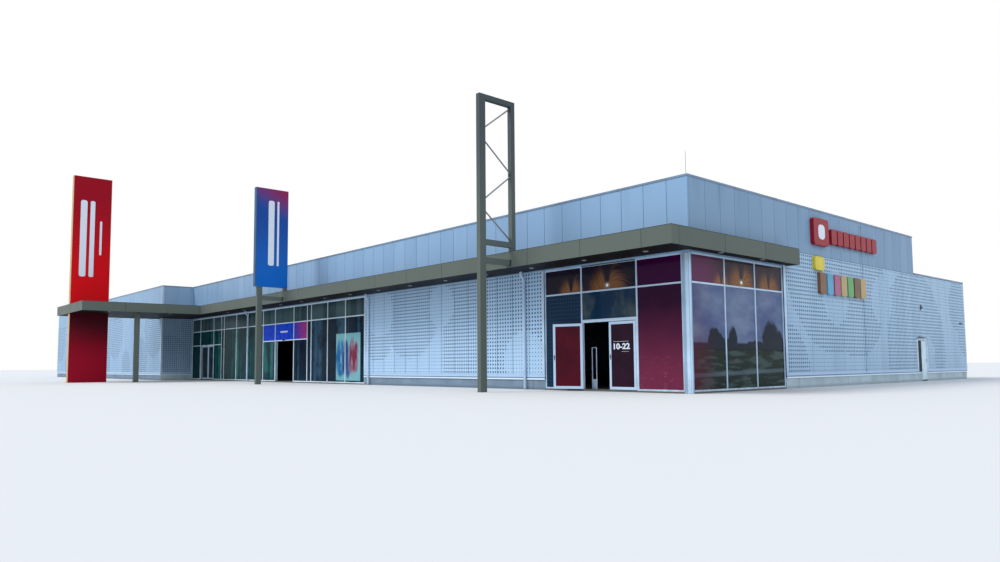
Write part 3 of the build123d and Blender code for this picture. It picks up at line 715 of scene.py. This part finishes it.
# The lights darken towards their top as painted shade under the canopy.
upper = f.darken(upper, slat * 0.2 + f.z.between(0.42, 0.48) * 0.3)
glaze(f, f.mix(lower, upper, f.z > transom), 0.08, cloud)
coat(f, "storefront_glass_right", "storefront_glass_middle", "entrance_glass")

f = Finish("entrance_banner", Specular_IOR_Level=0.03)
x = f.x - corner.x
tone = f.mix(paint(0, 66, 206), paint(62, 56, 176), x.between(-2.95, -2.89))
tone = f.mix(tone, paint(160, 50, 130), (x + f.z * 0.3).between(-2.82, -2.66))
f.use(Base_Color=tone, Roughness=0.24 + f.noise(20, 3) * 0.08)
coat(f, "entrance_b_sign")
bm = bmesh.new()
add_block(bm, (-3.108, -3.006), (0.0054, 0.0068), (0.3185, 0.3285), 0.0006)
piece("banner_marks", bm, white_print)

f = Finish("window_poster", Specular_IOR_Level=0.2)
x = f.x - corner.x
tone = f.mix(paint(92, 156, 172), paint(128, 186, 188), f.noise(5, 2))
for middle, height, wash, deep, shift in (
    (-2.335, 0.150, (76, 142, 176), (8, 88, 146), 0.0),
    (-2.265, 0.135, (82, 124, 164), (24, 62, 112), 5.0),
    (-2.190, 0.150, (140, 104, 128), (112, 28, 58), 3.0),
):
    near = 1 - (((x - middle) / 0.066) ** 2 + ((f.z - height) / 0.135) ** 2).between(0.1, 1.0)
    brush = f.noise(30, 4, (1, 1, 0.35), shift) + near * 0.24
    tone = f.mix(tone, paint(*wash), brush.between(0.48, 0.66) * near.between(0.0, 0.6))
    tone = f.mix(tone, paint(*deep), brush.between(0.60, 0.78) * near.between(0.0, 0.6))
f.use(Base_Color=tone, Roughness=0.5 + f.noise(13, 2) * 0.1)
bm = bmesh.new()
for xs in ((-2.279, -2.119), (-2.383, -2.285)):
    add_block(bm, xs, (0.0040, 0.0060), (0.020, 0.285), 0.0003)
piece("window_posters", bm, f)

# Sliding leaves: glass in white stiles, hung behind the screens from the drive housings. A dark motion
# sensor sits on the head over each opening.
stile_width = 0.010
sliding_glass_head = 0.2547
for name, left, right in (
    ("entrance_b_leaf_left", -3.312, -3.180),
    ("entrance_b_leaf_right", -2.922, -2.790),
    ("entrance_a_leaf_left", -4.522, -4.387),
    ("entrance_a_leaf_right", -4.385, -4.250),
):
    f = Finish(name + "_coat", Specular_IOR_Level=0.06)
    ends = (left + stile_width, right - stile_width)
    coat(leaf_coat(f, f.x - corner.x, *ends, sliding_glass_head, (20, 32, 42), (44, 66, 76)), name)
bm = bmesh.new()
for middle in (-3.051, -4.386):
    add_block(bm, about(middle, 0.010), (-0.004, 0.0041), (0.2655, 0.2735), 0.0012)
piece("motion_sensors", bm, dark_coat)

# Side door: white steel frame and leaf beside a narrow light, with a lever, a hood, and a lamp on a tall
# plate. A small fitting sits on the wall near the rear corner.
coat(powder_coat("side_door_coat", (206, 230, 242)), "side_door_frame", "side_door_leaf")
f = Finish("side_light_film", Specular_IOR_Level=0.03)
glimpse = f.noise(44, 4, (1, 1, 0.5))
tone = f.mix(paint(8, 6, 20), paint(46, 40, 68), glimpse.between(0.48, 0.66))
tone = f.mix(tone, paint(120, 70, 110), f.z.between(0.2, 0.3) * glimpse.between(0.52, 0.66) * 0.6)
f.use(Base_Color=tone, Roughness=0.08 + glimpse * 0.05)
coat(f, "side_light_pane")
coat(dark_coat, "side_door_fittings")
bm = bmesh.new()
add_lever(bm, 2.121, 0.001, 0.108, -0.0105)
bmesh.ops.rotate(bm, cent=corner, matrix=Matrix.Rotation(math.radians(90), 3, "Z"), verts=bm.verts)
piece("side_lever", bm, dark_coat, "side_door")
bm = bmesh.new()
add_block(bm, (-0.0005, 0.0045), (2.0665, 2.0735), (0.3670, 0.3965), 0.0010)
piece("lamp_plate", bm, dark_coat)
bm = bmesh.new()
add_block(bm, (-0.0005, 0.0070), (2.655, 2.672), (0.311, 0.319), 0.0012)
add_block(bm, (-0.0005, 0.0055), (2.678, 2.700), (0.3125, 0.3175), 0.0010)
piece("wall_fitting", bm, dark_coat)

# Canopies: olive-grey coated fascias in bays with open joints, over boarded soffits with round lamps, their
# dark coat deepened to near black with painted shade.
# A square post of the same olive tube as the upright frames carries the deep canopy.
fascia_bay = 0.27
fascia_foot, fascia_top = 0.482, 0.546
f = Finish("fascia_coat", Specular_IOR_Level=0.12)
bay = f.by_side(f.x - (corner.x - 0.060), f.y - (corner.y - 0.140)) / fascia_bay
cloud = f.noise(12, 4, (1, 1, 0.3))
tone = f.mix(paint(95, 104, 97), paint(87, 96, 91), f.chance(bay.floor()) * 0.5 + cloud * 0.5)
joint = bay.lines(1.0, 0.008).at_least(abs(f.z - 0.5438) < 0.0012)
tone = f.darken(tone, joint * (f.z > fascia_foot) * (f.z < fascia_top) * 0.5)
f.use(Base_Color=tone, Roughness=0.42 + cloud * 0.14)
f.relief(f.noise(800, 2) * 0.2 + f.noise(6, 1), 0.0006, 0.4)
coat(f, "canopy_fascia", "wing_canopy_fascia")

tube_coat = Finish("tube_coat", Specular_IOR_Level=0.3)
f = tube_coat
cloud = f.noise(9, 4, (1, 1, 0.3))
tone = f.mix(paint(93, 103, 96), paint(79, 89, 86), cloud)
f.use(Base_Color=f.mix(tone, paint(60, 70, 74), f.z.between(0.5, 1.1)), Roughness=0.42 + cloud * 0.14)
f.relief(f.noise(800, 2) * 0.2 + cloud, 0.0006, 0.4)
coat(tube_coat, "canopy_post", "open_frame", "sign_posts")

f = Finish("soffit_sheet", Specular_IOR_Level=0.1)
board = f.x.lines(0.06, 0.0012, 0.03)
cloud = f.noise(10, 4)
# Near-black tones: a dark coat deepened with painted shade.
tone = f.mix(paint(26, 22, 22), paint(18, 16, 18), cloud)
f.use(Base_Color=f.darken(tone, board * 0.5), Roughness=0.5 + cloud * 0.12)
f.relief(cloud * 0.3 - board, 0.0008, 0.5)
coat(f, "canopy_deck", "wing_canopy_deck")

lamp_step = 0.281
soffit_height = 0.4850
lamp_places = [(-0.118 - lamp_step * n, -0.080) for n in range(14)]
lamp_places += [(0.030, 0.15 + lamp_step * n) for n in range(2)]
lamp_places += [(-4.15, -0.35), (-4.45, -0.35), (-4.15, -0.75)]
bm = bmesh.new()
for x, y in lamp_places:
    add_round(bm, (x, y, soffit_height), (0.0085, 0.0105), 0.0026, 24)
piece("soffit_lamps", bm, powder_coat("lamp_coat", (142, 144, 142)))

# Rainwater pipes: white coated tubes against the front, each held by four clamps. A clamp is a band round
# the tube and a small block that stands it off the wall.
coat(white_coat, "downpipes")
bm = bmesh.new()
for x in (-0.801, -2.019, -3.594):
    for z in (0.075, 0.210, 0.345, 0.434):
        add_round(bm, (x, -0.008, z), (0.0062, 0.0062), 0.005, 20)
        add_block(bm, about(x, 0.002), (-0.004, 0.0005), about(z, 0.002), 0.0003)
piece("pipe_clamps", bm, white_coat)

# Upright frames: welded olive tube, with slim galvanised rods bolted to small gussets in the open one. A
# dark shoe joins each frame's arm to the canopy's fascia.
open_frame_x, sign_x = -0.703, -2.700
rod_coat = mottled("galvanised_rod", (150, 158, 164), (112, 120, 126), 60, 3, 0.34, 0.2, Metallic=0.8)
coat(rod_coat, "open_frame_bracing", "lightning_rod")
bm = bmesh.new()
for y, heights in ((-0.1755, (1.1168, 0.8585, 0.8416, 0.5882)), (-0.3035, (1.0149, 0.967, 0.737, 0.6928))):
    for z in heights:
        add_block(bm, about(open_frame_x, 0.0015), about(y, 0.0030), about(z, 0.009), 0.0004)
piece("rod_gussets", bm, tube_coat)
bm = bmesh.new()
for x in (open_frame_x, sign_x):
    add_block(bm, about(x, 0.0115), (-0.1855, -0.1790), (0.4865, 0.5115), 0.0006)
piece("arm_shoes", bm, dark_coat)

# Lit sign: a box held by posts of olive tube, with blue faces that turn magenta at the top. It has a metal
# edge at the front, and two plain raised bars on each face.
raised = 0.0009
half_sign = 0.0125


def add_panel(bm, x, y, z, rounding):
    """Flat shape between limits that faces right or left, its corners rounded in that plane."""
    edges = add_cuboid(bm, x, y, z)
    deep = [edge for edge in edges if abs(edge.verts[0].co.x - edge.verts[1].co.x) > 1e-6]
    bmesh.ops.bevel(bm, geom=deep, offset=rounding, affect="EDGES", segments=4, profile=0.5, material=-1)


f = Finish("sign_face", Specular_IOR_Level=0.2)
rise = (f.z + (f.y - corner.y + 0.24) * 0.5).between(0.98, 1.18)
tone = f.mix(paint(6, 100, 192), paint(8, 72, 156), f.z.between(0.6, 1.0))
tone = f.mix(tone, paint(140, 32, 86), rise)
f.use(Base_Color=f.darken(tone, f.noise(6, 2) * 0.12), Roughness=0.26 + f.noise(30, 2) * 0.08)
coat(f, "lit_sign")
bm = bmesh.new()
add_block(bm, about(sign_x, 0.0135), (-0.3525, -0.3465), (0.5655, 1.1445), 0.0006)
piece("sign_edge", bm, powder_coat("edge_coat", (50, 88, 128)))
bm = bmesh.new()
for face in (sign_x + half_sign, sign_x - half_sign):
    for limits, rounding in (((-0.276, -0.240), 0.012), ((-0.222, -0.210), 0.005)):
        add_panel(bm, about(face, raised), limits, (0.690, 1.075), rounding)
piece("sign_marks", bm, white_print)

# Pylon: red gloss sheet that is darker towards the top, with painted shade under the canopy, and pale
# gold edge plates and plain raised white bars.
pylon_x = -4.44
half_pylon = 0.0200
f = Finish("gloss_red", Specular_IOR_Level=0.12)
seam = f.z.lines(0.365, 0.0014, 0.02)
cloud = f.noise(5, 3)
tone = f.mix(paint(222, 2, 14), paint(152, 0, 28), (f.z + cloud * 0.1).between(0.62, 1.42))
# Under the canopy the red is painted shade, darkest towards the soffit.
shaded = f.mix(paint(150, 0, 34), paint(74, 0, 20), f.z.between(0.16, 0.45))
tone = f.mix(shaded, tone, f.z.between(0.484, 0.492))
f.use(Base_Color=f.darken(tone, seam * 0.45), Roughness=0.26 + cloud * 0.08)
f.relief(f.noise(4, 1) - seam, 0.001, 0.4)
coat(f, "red_pylon")
gold_plate = mottled("gold_plate", (206, 176, 124), (178, 146, 96), 40, 2, 0.35, 0.1, Metallic=0.3)
bm = bmesh.new()
for y in (-0.9360, -0.6910):
    add_block(bm, about(pylon_x, half_pylon + 0.0002), (y, y + 0.0020), (0.0005, 1.4595), 0.0003)
piece("pylon_edges", bm, gold_plate)
bm = bmesh.new()
for face in (pylon_x + half_pylon, pylon_x - half_pylon):
    for limits, heights, rounding in (
        ((-0.888, -0.846), (0.745, 1.290), 0.014),
        ((-0.826, -0.796), (0.745, 1.290), 0.010),
        ((-0.762, -0.748), (0.905, 1.150), 0.006),
    ):
        add_panel(bm, about(face, raised), limits, heights, rounding)
piece("pylon_marks", bm, white_print)

# Side wall signs: shallow boxed tiles of coated metal with rounded corners, fixed flat to the cladding.
# They are plain: a red square with a white inlay before a row of red bars, and eight small tiles below.


def tile_coat(name, tone):
    """Coat of a wall sign, in its tone and a deeper one."""
    return mottled(name, tone, [t * 0.84 for t in tone], 18, 2, 0.34, 0.1, Specular_IOR_Level=0.3)


bar_step = 0.0595
bm = bmesh.new()
add_panel(bm, (0.0, 0.017), (0.880, 1.015), (0.592, 0.706), 0.014)
for n in range(8):
    start = 1.044 + bar_step * n
    add_panel(bm, (0.0, 0.016), (start, start + 0.050), (0.608, 0.674), 0.008)
piece("red_wall_sign", bm, tile_coat("sign_red", (156, 14, 40)))
bm = bmesh.new()
add_panel(bm, (0.0165, 0.0180), (0.918, 0.977), (0.618, 0.680), 0.020)
piece("wall_sign_inlay", bm, white_print)
tile_width, tile_step = 0.054, 0.066
tile_depth = (0.0, 0.015)
bm = bmesh.new()
add_panel(bm, tile_depth, (0.886, 0.968), (0.486, 0.544), 0.014)
piece("wall_tile_yellow", bm, tile_coat("tile_yellow", (226, 208, 70)))
tiles = (
    ("chestnut", (132, 96, 72)), ("sky", (92, 172, 208)), ("rose", (176, 96, 136)), ("sand", (190, 168, 122)),
    ("leaf", (110, 176, 112)), ("walnut", (116, 92, 72)), ("straw", (194, 168, 120)),
)
for n, (name, tone) in enumerate(tiles):
    start = 0.926 + tile_step * n
    bm = bmesh.new()
    add_panel(bm, tile_depth, (start, start + tile_width), (0.388, 0.478), 0.010)
    piece("wall_tile_" + name, bm, tile_coat("tile_" + name, tone))

# Lightning conductor: a dull galvanised wire that runs down the side wall from the coping, held by small
# clamps.
bm = bmesh.new()
add_round(bm, (0.0024, 1.376, 0.395), (0.0005, 0.0005), 0.690, 8)
for z in (0.064, 0.142, 0.218, 0.378, 0.531, 0.722):
    add_block(bm, (-0.0004, 0.0036), (1.3740, 1.3780), about(z, 0.002), 0.0003)
wire = mottled("dull_wire", (126, 150, 172), (104, 126, 148), 60, 3, 0.4, 0.2, Specular_IOR_Level=0.3)
piece("conductor", bm, wire)

# Camera and studio: a camera at a driver's eye height before the glazed corner, a pale floor, a white
# surround that reflections show too, and two soft distant lamps.
picture_width_in_pixels = 1000
focal_length_in_pixels = 746.15
sensor_width = 36.0
eye = (5.5945, -3.0395, 0.1038)
yaw, pitch, roll = 0.8445, 0.0736, -0.0079
camera_data = bpy.data.cameras.new("camera")
camera_data.sensor_width = sensor_width
camera_data.lens = focal_length_in_pixels * sensor_width / picture_width_in_pixels
camera_data.shift_y = 0.0283
camera_data.clip_start = 0.01
camera_data.clip_end = 200
camera = bpy.data.objects.new("camera", camera_data)
bpy.context.collection.objects.link(camera)
forward = Vector((-math.sin(yaw) * math.cos(pitch), math.cos(yaw) * math.cos(pitch), math.sin(pitch)))
level = Vector((math.cos(yaw), math.sin(yaw), 0))
above = level.cross(forward)
right = level * math.cos(roll) + above * math.sin(roll)
up = above * math.cos(roll) - level * math.sin(roll)
turn = Matrix((right, up, -forward)).transposed().to_4x4()
camera.matrix_world = Matrix.Translation(eye) @ turn
bpy.context.scene.camera = camera

bm = bmesh.new()
bmesh.ops.create_grid(bm, x_segments=1, y_segments=1, size=40)
floor_mesh = bpy.data.meshes.new("studio_floor")
bm.to_mesh(floor_mesh)
bm.free()
floor = bpy.data.objects.new("studio_floor", floor_mesh)
bpy.context.collection.objects.link(floor)
floor_tone = Finish("floor_tone", Roughness=0.9, Specular_IOR_Level=0.1)
floor_tone.use(Base_Color=(0.66, 0.67, 0.68, 1.0))
floor_mesh.materials.append(floor_tone.material)

world = bpy.data.worlds.new("studio")
bpy.context.scene.world = world
world.use_nodes = True
tree = world.node_tree
light = tree.nodes["Background"]
light.inputs["Color"].default_value = (0.80, 0.88, 1.0, 1.0)
light.inputs["Strength"].default_value = 0.75
backdrop = tree.nodes.new("ShaderNodeBackground")
backdrop.inputs["Color"].default_value = (1.0, 1.0, 1.0, 1.0)
backdrop.inputs["Strength"].default_value = 1.0
path = tree.nodes.new("ShaderNodeLightPath")
shows = path.outputs["Is Camera Ray"]
for ray in ("Is Glossy Ray", "Is Transmission Ray"):
    either = tree.nodes.new("ShaderNodeMath")
    either.operation = "MAXIMUM"
    tree.links.new(shows, either.inputs[0])
    tree.links.new(path.outputs[ray], either.inputs[1])
    shows = either.outputs[0]
choose = tree.nodes.new("ShaderNodeMixShader")
tree.links.new(shows, choose.inputs[0])
tree.links.new(light.outputs[0], choose.inputs[1])
tree.links.new(backdrop.outputs[0], choose.inputs[2])
tree.links.new(choose.outputs[0], tree.nodes["World Output"].inputs[0])


def add_sun(name, strength, colour, azimuth, elevation, softness):
    """Soft distant lamp from a compass side and height, in degrees."""
    data = bpy.data.lights.new(name, "SUN")
    data.energy = strength
    data.color = colour
    data.angle = math.radians(softness)
    lamp = bpy.data.objects.new(name, data)
    bpy.context.collection.objects.link(lamp)
    lamp.rotation_euler = (math.radians(90 - elevation), 0, math.radians(azimuth))


add_sun("key", 2.1, (1.0, 0.98, 0.95), -32, 50, 25)
add_sun("fill", 0.75, (0.94, 0.97, 1.0), 62, 32, 40)
bpy.context.scene.view_settings.view_transform = "Standard"
